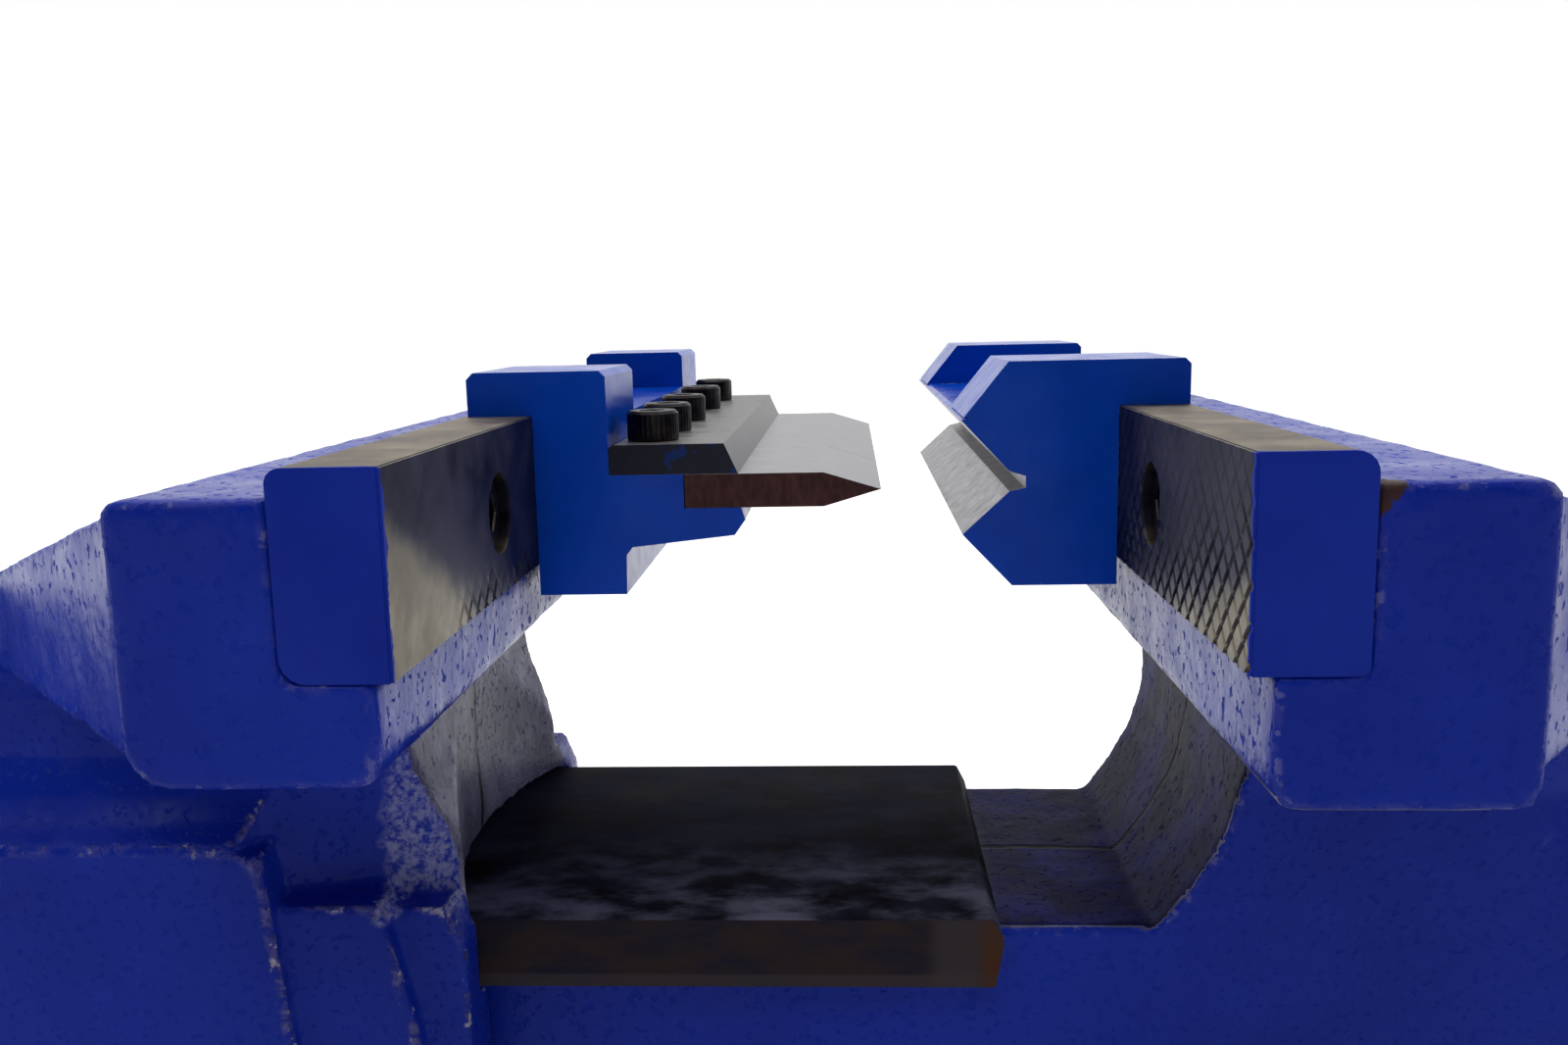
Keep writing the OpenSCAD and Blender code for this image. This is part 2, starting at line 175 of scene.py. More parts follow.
def axisMask(tree, place, axis, low, high):
    # 0 before low and 1 after high along one axis of the object, in metres
    value = separate(tree, place)[axis]
    node = tree.nodes.new("ShaderNodeMapRange")
    node.clamp = True
    for name, number in (("From Min", low), ("From Max", high)):
        node.inputs[name].default_value = number
    tree.links.new(value, node.inputs["Value"])
    return node.outputs["Result"]


def facing(tree, axis, low, high):
    # 1 where the surface turns towards either end of an axis
    geometry = tree.nodes.new("ShaderNodeNewGeometry")
    turned = separate(tree, geometry.outputs["Normal"])[axis]
    return ramp(tree, maths(tree, "ABSOLUTE", turned), [(low, 0.0), (high, 1.0)])


paintGloss = 0.13  # enamel and oiled steel reflect less than the shader's own 0.5
slideGloss = 0.02


def castingPaint():
    # thick gloss enamel over sand-cast iron: ridges where the paint ran, with painted highlights and glints;
    # bare and grimy in the throats, a pale dusty tone with painted sheen on the fixed side; a painted shadow
    # along the mould's seam
    colour = {"deep": (0.004, 0.022, 0.33, 1), "mid": (0.007, 0.031, 0.41, 1), "thin": (0.16, 0.15, 0.40, 1),
              "bare": (0.035, 0.030, 0.032, 1), "grime": (0.003, 0.004, 0.045, 1),
              "grimeLight": (0.012, 0.014, 0.16, 1), "dustAndSheen": (0.11, 0.11, 0.19, 1),
              "dustAndSheenLight": (0.29, 0.29, 0.41, 1), "paleSheen": (0.30, 0.31, 0.55, 1),
              "glint": (0.50, 0.47, 0.60, 1), "partingShadow": (0.001, 0.001, 0.002, 1),
              "rust": (0.050, 0.022, 0.024, 1)}
    amount = {"runs": 0.75, "glintSpots": 0.9, "chips": 0.8, "paleSheen": 0.85, "pits": 0.8}
    # the painted highlights on the ridges are strongest on the fixed side, in metres from the jaw tops and
    # the gap
    ridgeHighlightSpan = {"top": (0.045, 0.055), "bottom": (0.135, 0.115), "outward": (0.03, 0.05), "elsewhere": 0.2}
    material, tree, shader, place = startMaterial("castingPaint", 0.3)
    shader.inputs["Specular IOR Level"].default_value = paintGloss
    tone = mixColour(tree, blotches(tree, place, 0.045, (0.35, 0.65)), colour["deep"], colour["mid"])
    # the paint ran and pooled along the lower ridges; the pale colour laid on them is a painted highlight
    ridges = ramp(tree, surfaceMark(tree, "ridge"), [(0.035, 0.0), (0.12, 1.0)])
    low = axisMask(tree, place, "Z", *[jawTop - down for down in ridgeHighlightSpan["top"]])
    low = times(tree, low, axisMask(tree, place, "Z", *[jawTop - down for down in ridgeHighlightSpan["bottom"]]))
    low = times(tree, low, axisMask(tree, place, "X", *[gapX - outward for outward in ridgeHighlightSpan["outward"]]))
    low = maths(tree, "ADD", times(tree, low, 1 - ridgeHighlightSpan["elsewhere"]), ridgeHighlightSpan["elsewhere"])
    ridges = times(tree, ridges, low)
    runs = blotches(tree, place, 0.004, (0.44, 0.60), 5, 0.65, distortion=0.8)
    glints = times(tree, ridges, runs)
    # pale colour laid along the ridges: a painted highlight
    tone = lay(tree, tone, colour["thin"], glints, amount["runs"])
    # pale spots on the ridges: painted glints
    glintSpots = blotches(tree, place, 0.0022, (0.59, 0.64), 3, 0.6)
    tone = lay(tree, tone, colour["glint"], times(tree, ridges, glintSpots), amount["glintSpots"])
    sharpest = ramp(tree, surfaceMark(tree, "ridge"), [(0.12, 0.0), (0.2, 1.0)])
    chips = times(tree, sharpest, blotches(tree, place, 0.007, (0.63, 0.66), 5, 0.7))
    tone = lay(tree, tone, colour["bare"], chips, amount["chips"])
    speckle = blotches(tree, place, 0.0014, (0.38, 0.62), 5, 0.7)
    # pale speckle on the fixed throat's corners: a painted sheen
    tone = lay(tree, tone, colour["paleSheen"], times(tree, surfaceMark(tree, "paleSheen"), speckle), amount["paleSheen"])
    # the grime's border is ragged
    ragged = wander(tree, place, 0.005, 4, 0.6, 0.9)
    grime = ramp(tree, maths(tree, "ADD", surfaceMark(tree, "grime"), ragged), [(0.42, 0.0), (0.58, 1.0)])
    smears = blotches(tree, place, 0.016, (0.40, 0.68), 6, 0.65)
    caked = ramp(tree, surfaceMark(tree, "grime"), [(0.8, 0.0), (0.95, 1.0)])
    # the pale tones on the fixed side are dusty paint with a painted sheen; the dark ones on the moving side
    # are caked grime
    dirt = mixColour(tree, caked, mixColour(tree, smears, colour["dustAndSheen"], colour["dustAndSheenLight"]),
                     mixColour(tree, smears, colour["grime"], colour["grimeLight"]))
    tone = mixColour(tree, grime, tone, dirt)
    rust = ramp(tree, maths(tree, "ADD", surfaceMark(tree, "rust"), ragged), [(0.50, 0.0), (0.56, 1.0)])
    tone = mixColour(tree, rust, tone, colour["rust"])
    # the mould's seam down the middle of the bare stretches, painted dark as the shadow of its small step
    crooked = wander(tree, place, 0.02, 2, 0.55, 0.006)
    offLine = maths(tree, "ABSOLUTE", maths(tree, "ADD", separate(tree, place)["Y"], crooked))
    line = ramp(tree, times(tree, offLine, 1 / mm), [(0.45, 1.0), (0.95, 0.0)])
    line = times(tree, line, grime)
    tone = mixColour(tree, line, tone, colour["partingShadow"])
    tree.links.new(tone, shader.inputs["Base Color"])
    rough = ramp(tree, noise(tree, place, 0.008, 4), [(0.3, 0.22), (0.7, 0.34)])
    pits = blotches(tree, place, 0.0014, (0.60, 0.66), 2, 0.5)
    for mask, dullness in ((glints, 0.12), (maths(tree, "MAXIMUM", grime, rust), 0.38), (caked, 0.56),
                           (times(tree, pits, amount["pits"]), 0.75)):
        rough = mixColour(tree, mask, rough, (dullness, dullness, dullness, 1))
    tree.links.new(rough, shader.inputs["Roughness"])
    bump(tree, shader, [
        (noise(tree, place, 0.011, 3), 0.3, 0.0010),
        (noise(tree, place, 0.0030, 3, 0.5), 0.40, 0.0004),
        (maths(tree, "SUBTRACT", 1.0, pits), 0.6, 0.00016),
        (times(tree, glints, noise(tree, place, 0.0022, 3)), 0.8, 0.0008),
        (maths(tree, "SUBTRACT", 1.0, line), 0.5, 0.0004)])
    return material


def toolPaint():
    # smooth sprayed enamel, rubbed through on the corners
    colour = {"deep": (0.0005, 0.047, 0.43, 1), "mid": (0.001, 0.064, 0.54, 1),
              "bare": (0.30, 0.33, 0.38, 1)}
    material, tree, shader, place = startMaterial("toolPaint", 0.3)
    shader.inputs["Specular IOR Level"].default_value = paintGloss
    tone = mixColour(tree, blotches(tree, place, 0.03, (0.35, 0.65), 3), colour["deep"], colour["mid"])
    chips = maths(tree, "MULTIPLY", surfaceMark(tree, "edge"),
                  blotches(tree, place, 0.0012, (0.50, 0.58), 5, 0.7), True)
    nicks = blotches(tree, place, 0.0018, (0.755, 0.78), 3, 0.6)
    tone = lay(tree, tone, colour["bare"], maths(tree, "MAXIMUM", chips, nicks), 0.6)
    tree.links.new(tone, shader.inputs["Base Color"])
    rough = ramp(tree, noise(tree, place, 0.005, 4), [(0.3, 0.16), (0.7, 0.26)])
    tree.links.new(rough, shader.inputs["Roughness"])
    bump(tree, shader, [
        (noise(tree, place, 0.004, 3), 0.18, 0.0003),
        (noise(tree, place, 0.0006, 2), 0.12, 0.00006)])
    return material


def steelFinish(name, dark, light, blotch, rough, stain=None, stainAmount=0.0, grain=(1, 1, 1)):
    # one recipe for the bare metals: mottled tone, optional stain, fine directional scratches
    material, tree, shader, place = startMaterial(name, rough, 1.0)
    patches = noise(tree, place, blotch, 6, 0.65)
    tone = mixColour(tree, ramp(tree, patches, [(0.3, 0.0), (0.7, 1.0)]), dark, light)
    if stain:
        where = blotches(tree, place, blotch * 2.1, (0.45, 0.68), 6, 0.7, distortion=0.6)
        tone = lay(tree, tone, stain, where, stainAmount)
    tone = lay(tree, tone, light, surfaceMark(tree, "edge"), 0.5)
    tree.links.new(tone, shader.inputs["Base Color"])
    varied = ramp(tree, noise(tree, place, blotch * 0.6, 5), [(0.25, rough * 0.8), (0.75, rough * 1.25)])
    tree.links.new(varied, shader.inputs["Roughness"])
    bump(tree, shader, [
        (patches, 0.2, 0.0001),
        (noise(tree, place, 0.0006, 2, 0.5, grain), 0.25, 0.00004)])
    return material


def insertSteel():
    # hardened strip: tan on top, gunmetal on the gripping face with painted shade in its grooves, painted
    # over at both ends
    colour = {"dark": (0.024, 0.024, 0.044, 1), "light": (0.068, 0.067, 0.112, 1),
              "worn": (0.27, 0.245, 0.19, 1), "tan": (0.30, 0.265, 0.215, 1),
              "brown": (0.12, 0.098, 0.080, 1), "groove": (0.008, 0.008, 0.014, 1),
              "paintDeep": (0.004, 0.022, 0.33, 1), "paintMid": (0.006, 0.029, 0.39, 1)}
    paintDepth = 0.0007  # how far the paint has crept in over each end
    material, tree, shader, place = startMaterial("insertSteel", 0.4, 1.0)
    shader.inputs["Specular IOR Level"].default_value = paintGloss
    patches = noise(tree, place, 0.012, 6, 0.65)
    mottle = ramp(tree, patches, [(0.32, 0.0), (0.70, 1.0)])
    tone = mixColour(tree, mottle, colour["dark"], colour["light"])
    worn = maths(tree, "ADD", surfaceMark(tree, "worn"), wander(tree, place, 0.010, 5, 0.6, 0.9))
    tone = mixColour(tree, ramp(tree, worn, [(0.35, 0.0), (1.0, 1.0)]), tone, colour["worn"])
    top = facing(tree, "Z", 0.6, 0.9)
    tone = mixColour(tree, top, tone, mixColour(tree, mottle, colour["brown"], colour["tan"]))
    # the grooves are painted darker as they deepen: painted shade
    tone = lay(tree, tone, colour["groove"], surfaceMark(tree, "groove"), 0.6)
    ragged = wander(tree, place, 0.003, 4, 0.6, 0.003)
    reach = maths(tree, "ADD", maths(tree, "ABSOLUTE", separate(tree, place)["Y"]), ragged)
    painted = maths(tree, "GREATER_THAN", reach, -nearEnd - paintDepth)
    paintTone = mixColour(tree, blotches(tree, place, 0.02, (0.35, 0.65)),
                          colour["paintDeep"], colour["paintMid"])
    tone = mixColour(tree, painted, tone, paintTone)
    tree.links.new(tone, shader.inputs["Base Color"])
    tree.links.new(maths(tree, "SUBTRACT", 1.0, painted), shader.inputs["Metallic"])
    tree.links.new(ramp(tree, patches, [(0.25, 0.42), (0.75, 0.60)]), shader.inputs["Roughness"])
    bump(tree, shader, [
        (noise(tree, place, 0.006, 3), 0.3, 0.0005),
        (patches, 0.2, 0.0002),
        (noise(tree, place, 0.0006, 2, 0.5, (1, 0.1, 1)), 0.2, 0.00004)])
    return material


def slideSteel():
    # oily machined top, brown old oil on the sides, rust at the front corner
    colour = {"oil": (0.003, 0.003, 0.005, 1), "steel": (0.018, 0.018, 0.034, 1),
              "smudge": (0.17, 0.17, 0.24, 1), "brown": (0.038, 0.026, 0.026, 1),
              "strip": (0.062, 0.050, 0.056, 1), "rust": (0.085, 0.034, 0.016, 1),
              "speck": (0.35, 0.35, 0.38, 1)}
    # where each mark starts and is full, in metres in from the near side, the underside and the front
    reach = {"smudges": (0.034, 0.004), "lowStrip": (0.0026, 0.0022), "front": (0.0115, 0.009),
             "corner": (0.0035, 0.001)}
    material, tree, shader, place = startMaterial("slideSteel", 0.5)
    shader.inputs["Specular IOR Level"].default_value = slideGloss
    flangeLow, flangeHigh = slideBox
    patches = noise(tree, place, 0.016, 6, 0.62)
    tone = mixColour(tree, ramp(tree, patches, [(0.35, 0.0), (0.68, 1.0)]), colour["oil"], colour["steel"])
    nearEdge = axisMask(tree, place, "Y", *[flangeLow.y + inward for inward in reach["smudges"]])
    rubs = blotches(tree, place, 0.009, (0.36, 0.66), 5, 0.6, (0.6, 1, 1))
    smudges = times(tree, maths(tree, "ADD", nearEdge, 0.12), rubs)
    tone = lay(tree, tone, colour["smudge"], smudges, 0.7)
    side = facing(tree, "Y", 0.5, 0.9)
    oldOil = blotches(tree, place, 0.006, (0.35, 0.65), 6, 0.7, (0.4, 1, 1))
    aged = mixColour(tree, oldOil, colour["brown"], colour["steel"])
    lowStrip = axisMask(tree, place, "Z", *[flangeLow.z + upward for upward in reach["lowStrip"]])
    aged = lay(tree, aged, colour["strip"], lowStrip, 0.6)
    front = axisMask(tree, place, "X", *[flangeHigh.x - back for back in reach["front"]])
    aged = lay(tree, aged, colour["strip"], front, 0.7)
    tone = mixColour(tree, side, tone, aged)
    corner = axisMask(tree, place, "X", *[flangeHigh.x - back for back in reach["corner"]])
    rusty = ramp(tree, noise(tree, place, 0.004, 5, 0.7), [(0.35, 0.3), (0.6, 1.0)])
    tone = lay(tree, tone, colour["rust"], times(tree, corner, side), rusty)
    specks = blotches(tree, place, 0.0015, (0.765, 0.785), 3, 0.6)
    tone = lay(tree, tone, colour["speck"], specks, 0.5)
    tree.links.new(tone, shader.inputs["Base Color"])
    tree.links.new(ramp(tree, patches, [(0.2, 0.55), (0.8, 0.75)]), shader.inputs["Roughness"])
    bump(tree, shader, [
        (patches, 0.2, 0.0001),
        (noise(tree, place, 0.0007, 2, 0.5, (0.06, 1, 1)), 0.3, 0.00005)])
    return material


def punchSteel():
    # ground faces mottled by handling; the sawn ends are brown
    colour = {"dark": (0.24, 0.24, 0.26, 1), "light": (0.40, 0.40, 0.43, 1), "stain": (0.14, 0.13, 0.12, 1),
              "end": (0.080, 0.036, 0.034, 1), "endDark": (0.046, 0.024, 0.027, 1)}
    material, tree, shader, place = startMaterial("punchSteel", 0.34, 1.0)
    patches = noise(tree, place, 0.0045, 6, 0.65)
    tone = mixColour(tree, ramp(tree, patches, [(0.3, 0.0), (0.7, 1.0)]), colour["dark"], colour["light"])
    tone = lay(tree, tone, colour["stain"], blotches(tree, place, 0.0022, (0.64, 0.72), 4, 0.6), 0.5)
    ends = facing(tree, "Y", 0.7, 0.95)
    sawMarks = blotches(tree, place, 0.0009, (0.3, 0.7), 3, 0.6, (1, 1, 0.4))
    sawn = mixColour(tree, sawMarks, colour["endDark"], colour["end"])
    tone = mixColour(tree, ends, tone, sawn)
    tree.links.new(tone, shader.inputs["Base Color"])
    tree.links.new(ramp(tree, patches, [(0.25, 0.28), (0.75, 0.42)]), shader.inputs["Roughness"])
    bump(tree, shader, [
        (patches, 0.2, 0.0001),
        (noise(tree, place, 0.0005, 2, 0.5, (1, 0.1, 0.3)), 0.25, 0.00004)])
    return material


def barSteel():
    # clamp bar: hot-rolled skin, dark ends splashed with the holder's paint
    colour = {"dark": (0.12, 0.12, 0.125, 1), "light": (0.27, 0.27, 0.27, 1),
              "skin": (0.026, 0.027, 0.042, 1), "paint": (0.006, 0.045, 0.24, 1)}
    material, tree, shader, place = startMaterial("barSteel", 0.42, 0.85)
    patches = noise(tree, place, 0.007, 6, 0.65)
    tone = mixColour(tree, ramp(tree, patches, [(0.3, 0.0), (0.7, 1.0)]), colour["dark"], colour["light"])
    tone = lay(tree, tone, colour["skin"], blotches(tree, place, 0.010, (0.55, 0.7), 6, 0.7), 0.6)
    ends = facing(tree, "Y", 0.7, 0.95)
    splash = blotches(tree, place, 0.004, (0.56, 0.62), 4, 0.6)
    tone = mixColour(tree, ends, tone, lay(tree, colour["skin"], colour["paint"], splash, 0.6))
    tree.links.new(tone, shader.inputs["Base Color"])
    tree.links.new(ramp(tree, patches, [(0.25, 0.34), (0.75, 0.52)]), shader.inputs["Roughness"])
    bump(tree, shader, [
        (noise(tree, place, 0.0016, 3), 0.3, 0.00015),
        (noise(tree, place, 0.0006, 2, 0.5, (1, 0.1, 1)), 0.2, 0.00004)])
    return material


# the machined flange along the top of the slide
slide = {"width": 75.0, "thickness": 12.0, "depth": 82.5, "front": 27.0, "slope": 1.8, "nose": 4.0,
         "edge": 0.5}
jawLow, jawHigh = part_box("moving_jaw_casting")
slideTop = jawTop - slide["depth"] * mm
slideBox = (Vector((jawLow.x, -slide["width"] / 2 * mm, slideTop - slide["thickness"] * mm)),
            Vector((gapX + slide["front"] * mm, slide["width"] / 2 * mm, slideTop)))

finishes = {
    "casting_paint": castingPaint(),
    "tool_paint": toolPaint(),
    "insert_steel": insertSteel(),
    "punch_steel": punchSteel(),
    "bar_steel": barSteel(),
    "vee_steel": steelFinish("veeSteel", (0.26, 0.26, 0.275, 1), (0.40, 0.40, 0.42, 1), 0.003, 0.38,
                             (0.26, 0.25, 0.24, 1), 0.3, (1, 0.08, 1)),
    "bright_steel": steelFinish("brightSteel", (0.34, 0.34, 0.35, 1), (0.46, 0.46, 0.465, 1), 0.03, 0.3,
                                (0.22, 0.18, 0.15, 1), 0.2, (1, 0.1, 0.1)),
    "dark_steel": steelFinish("darkSteel", (0.050, 0.050, 0.055, 1), (0.066, 0.066, 0.071, 1), 0.006, 0.5,
                              (0.075, 0.055, 0.045, 1), 0.15),
    "black_oxide": steelFinish("blackOxide", (0.010, 0.010, 0.012, 1), (0.035, 0.033, 0.036, 1), 0.003, 0.36,
                               (0.07, 0.045, 0.03, 1), 0.25),
    "bronze": steelFinish("bronze", (0.36, 0.22, 0.09, 1), (0.60, 0.42, 0.20, 1), 0.01, 0.35,
                          (0.12, 0.09, 0.05, 1), 0.4),
    "magnet_nickel": steelFinish("magnetNickel", (0.60, 0.59, 0.57, 1), (0.75, 0.74, 0.72, 1), 0.003, 0.18),
    "slide_steel": slideSteel(),
}
print("materials made")


def addPiece(name, mesh, body, slotName, finish=None, replaced=()):
    piece = bpy.data.objects.new(name, mesh)
    bpy.context.scene.collection.objects.link(piece)
    if not mesh.materials or mesh.materials[0] is None:
        mesh.materials.clear()
        mesh.materials.append(finishes[finish or slotName])
    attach(piece, body)
    if replaced:
        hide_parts(*replaced)
    return piece


def shadeByAngle(mesh, degrees=32):
    mesh.shade_smooth()
    mesh.set_sharp_from_angle(angle=math.radians(degrees))


def evaluatedMesh(holder):
    graph = bpy.context.evaluated_depsgraph_get()
    mesh = bpy.data.meshes.new_from_object(holder.evaluated_get(graph), depsgraph=graph)
    bpy.data.objects.remove(holder)
    return mesh


def holderFor(name, mesh):
    holder = bpy.data.objects.new(name, mesh)
    bpy.context.scene.collection.objects.link(holder)
    return holder


def meshOf(solid, name):
    mesh = bpy.data.meshes.new(name)
    solid.to_mesh(mesh)
    solid.free()
    return mesh


def mergedCopy(node):
    mesh = frame["nodes"][node].data.copy()
    mesh.materials.clear()
    solid = bmesh.new()
    solid.from_mesh(mesh)
    bmesh.ops.remove_doubles(solid, verts=solid.verts, dist=0.002 * mm)
    return mesh, solid


def breakEdges(solid, width, sharp=28):
    # every real edge rounded a little; the new faces carry the mark "edge"
    mark = solid.faces.layers.float.new("edge")
    bmesh.ops.dissolve_limit(solid, angle_limit=math.radians(0.4), verts=solid.verts, edges=solid.edges)
    corners = [edge for edge in solid.edges
               if len(edge.link_faces) == 2 and edge.calc_face_angle(0) > math.radians(sharp)]
    rounded = bmesh.ops.bevel(solid, geom=corners, offset=width * mm, offset_type="OFFSET", segments=2,
                              profile=0.5, affect="EDGES", clamp_overlap=True)
    for face in rounded["faces"]:
        face[mark] = 1.0


def edgedMesh(node, width, sharp=28):
    mesh, solid = mergedCopy(node)
    breakEdges(solid, width, sharp)
    solid.to_mesh(mesh)
    solid.free()
    return flatFaces(mesh, 40)


def flatFaces(mesh, degrees):
    # wide faces keep their own direction, and only the narrow broken edges turn the light
    shadeByAngle(mesh, degrees)
    holder = holderFor("weighted", mesh)
    weighted = holder.modifiers.new("Weighted", "WEIGHTED_NORMAL")
    weighted.keep_sharp = True
    return evaluatedMesh(holder)


def edgedPiece(node, width, finish, sharp):
    addPiece(node + "_finished", edgedMesh(node, width, sharp), wholePart[node], slotOf[node], finish, [node])


def castMesh(node, settings):
    # sand-cast surface: every edge and corner of the solid rounded over, then a slight waviness
    mesh, solid = mergedCopy(node)
    solid.to_mesh(mesh)
    solid.free()
    holder = holderFor(node + "_cast", mesh)
    remesh = holder.modifiers.new("Remesh", "REMESH")
    remesh.mode = "VOXEL"
    remesh.voxel_size = settings["voxel"] * mm
    smooth = holder.modifiers.new("Smooth", "SMOOTH")
    smooth.factor = 0.5
    smooth.iterations = settings["smoothing"]
    wave = holder.modifiers.new("Wave", "DISPLACE")
    clouds = bpy.data.textures.new(node + "_wave", "CLOUDS")
    clouds.noise_scale = settings["waveSize"] * mm
    wave.texture = clouds
    wave.texture_coords = "LOCAL"
    wave.mid_level = settings["level"]
    wave.strength = settings["wave"] * mm
    thin = holder.modifiers.new("Thin", "DECIMATE")
    thin.ratio = settings["kept"]
    return evaluatedMesh(holder)


def markSpots(mesh, name, test):
    # test(place, normal) says how strong the mark is at a spot, from 0 to 1
    mark = mesh.attributes.new(name, "FLOAT", "POINT")
    values = [test(vertex.co, vertex.normal) for vertex in mesh.vertices]
    mark.data.foreach_set("value", values)


def ramped(value, low, high):
    return min(1.0, max(0.0, (value - low) / (high - low)))


castings = {
    "swivel_base": {"voxel": 1.8, "smoothing": 3, "kept": 0.5, "wave": 0.3, "waveSize": 9, "level": 0.7},
    "body_casting": {"voxel": 0.95, "smoothing": 2, "kept": 0.31, "wave": 0.35, "waveSize": 8, "level": 0.5},
    "moving_jaw_casting": {"voxel": 0.95, "smoothing": 2, "kept": 0.36, "wave": 0.35, "waveSize": 8,
                           "level": 0.5},
}
# outward from the gap and down from the jaw tops; the fixed side gets a pale dusty tone with painted sheen,
# the moving side dark caked grime
throat = {"from": 20.0, "to": 74.0, "shallow": 38.0, "deep": 90.0, "noseTop": 75.5, "slideHalf": 37.5,
          "fixedDustAndSheen": 0.78, "movingGrime": 1.0}
sheenCorner = {"from": 56.0, "to": 72.0, "shallow": 36.0, "deep": 78.0, "inside": 30.0}
rustPatch = {"outward": 60.0, "inset": 2.0, "along": 6.0, "below": 0.8, "reach": 7.5, "depth": 6.5}


def throatGrime(side):
    # side is -1 for the fixed jaw, 1 for the moving jaw
    strength = throat["movingGrime" if side > 0 else "fixedDustAndSheen"]

    def test(place, normal):
        outward = (place.x - gapX) * side / mm
        depth = (jawTop - place.z) / mm
        if not (throat["from"] < outward < throat["to"] and throat["shallow"] < depth < throat["deep"]):
            return 0.0
        if side > 0:
            return ramped(0.75 - abs(normal.y), 0.0, 0.2) * strength
        if depth > throat["noseTop"] and abs(place.y) > throat["slideHalf"] * mm:
            return 0.0
        return ramped(normal.x, 0.6, 0.8) * strength
    return test


def sheenSpot(place, normal):
    # the fixed throat's corners, where a pale speckled painted sheen is laid over the paint
    outward = (gapX - place.x) / mm
    depth = (jawTop - place.z) / mm
    deep = sheenCorner["deep"] if place.y < 0 else throat["deep"]
    if not (sheenCorner["from"] < outward < sheenCorner["to"] and sheenCorner["shallow"] < depth < deep):
        return 0.0
    if abs(place.y) < sheenCorner["inside"] * mm:
        return 0.0
    return ramped(normal.x, 0.12, 0.3)


def markRidges(mesh):
    # how far the surface bends outward at each spot: high along convex edges
    bend = [0.0] * len(mesh.vertices)
    count = [0] * len(mesh.vertices)
    places = [vertex.co for vertex in mesh.vertices]
    normals = [vertex.normal for vertex in mesh.vertices]
    for edge in mesh.edges:
        first, second = edge.vertices
        along = (places[second] - places[first]).normalized()
        bend[first] -= along.dot(normals[first])
        bend[second] += along.dot(normals[second])
        count[first] += 1
        count[second] += 1
    mark = mesh.attributes.new("ridge", "FLOAT", "POINT")
    mark.data.foreach_set("value", [total / max(1, number) for total, number in zip(bend, count)])


def rustSpot(place, normal):
    # a bare corner beside the near end of the moving insert
    outward = (place.x - gapX) / mm - rustPatch["outward"]
    depth = (jawTop - place.z) / mm
    if outward < -rustPatch["inset"] or depth < rustPatch["below"]:
        return 0.0
    if place.y > nearEnd + rustPatch["along"] * mm:
        return 0.0
    return max(0.0, 1.0 - 0.5 * (max(0.0, outward) / rustPatch["reach"] + depth / rustPatch["depth"]))


def seatFlat(mesh, node):
    # the underside that stands on the bench is faced flat
    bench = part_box(node)[0][2]
    for vertex in mesh.vertices:
        vertex.co.z = max(vertex.co.z, bench)


sunk = {"back": 0.8, "beamHalf": 33.4, "under": 0.6, "inFront": 2.2}


def sinkUnderFlange(mesh):
    # the machined flange is its own crisp piece, so the cast surface draws back under it
    low, high = slideBox
    back = sunk["back"] * mm
    for vertex in mesh.vertices:
        place = vertex.co
        if place.z < low.z - sunk["under"] * mm or place.x > high.x + sunk["inFront"] * mm:
            continue
        place.z = min(place.z, high.z - back)
        if abs(place.y) > sunk["beamHalf"] * mm:
            place.z = max(place.z, low.z + back)
            place.x = max(place.x, low.x + back)
        place.y = max(low.y + back, min(high.y - back, place.y))
        if place.z > high.z - slide["nose"] * mm:
            place.x = min(place.x, high.x - back)


for castName, castSettings in castings.items():
    castResult = castMesh(castName, castSettings)
    markRidges(castResult)
    if castName == "moving_jaw_casting":
        markSpots(castResult, "grime", throatGrime(1))
        markSpots(castResult, "rust", rustSpot)
        sinkUnderFlange(castResult)
    elif castName == "body_casting":
        markSpots(castResult, "grime", throatGrime(-1))
        markSpots(castResult, "paleSheen", sheenSpot)
    elif castName == "swivel_base":
        seatFlat(castResult, castName)
    castResult.shade_smooth()
    print(castName, len(castResult.polygons))
    addPiece(castName + "_painted", castResult, wholePart[castName], slotOf[castName], None, [castName])
print("castings made")


def extrudedY(outline, halfWidth):
    # solid from an outline of X and Z
    solid = bmesh.new()
    nearRing = [solid.verts.new((x, -halfWidth, z)) for x, z in outline]
    farRing = [solid.verts.new((x, halfWidth, z)) for x, z in outline]
    solid.faces.new(nearRing)
    solid.faces.new(list(reversed(farRing)))
    for i in range(len(outline)):
        j = (i + 1) % len(outline)
        solid.faces.new((nearRing[j], nearRing[i], farRing[i], farRing[j]))
    bmesh.ops.recalc_face_normals(solid, faces=solid.faces)
    return solid


def addSlideFlange():
    low, high = slideBox
    slope = slide["slope"] * mm
    noseTop = high.z - slide["nose"] * mm
    solid = extrudedY([(low.x, low.z), (high.x, low.z), (high.x + slope * 0.8, noseTop),
                       (high.x - slope * 0.3, high.z), (low.x, high.z)], high.y)
    breakEdges(solid, slide["edge"])
    mesh = meshOf(solid, "slide_flange")
    shadeByAngle(mesh, 40)
    addPiece("slide_flange", mesh, "moving_jaw", "dark_steel", "slide_steel")


addSlideFlange()


serration = {"pitch": 3.1, "groove": 1.0, "angle": 47.0, "rim": 0.12, "backing": 2.6, "setBack": 0.42,
             "screwHole": 6.0, "screwRow": 51.5, "screwDrop": 12.5, "paintedCorner": 0.7, "square": 0.05}
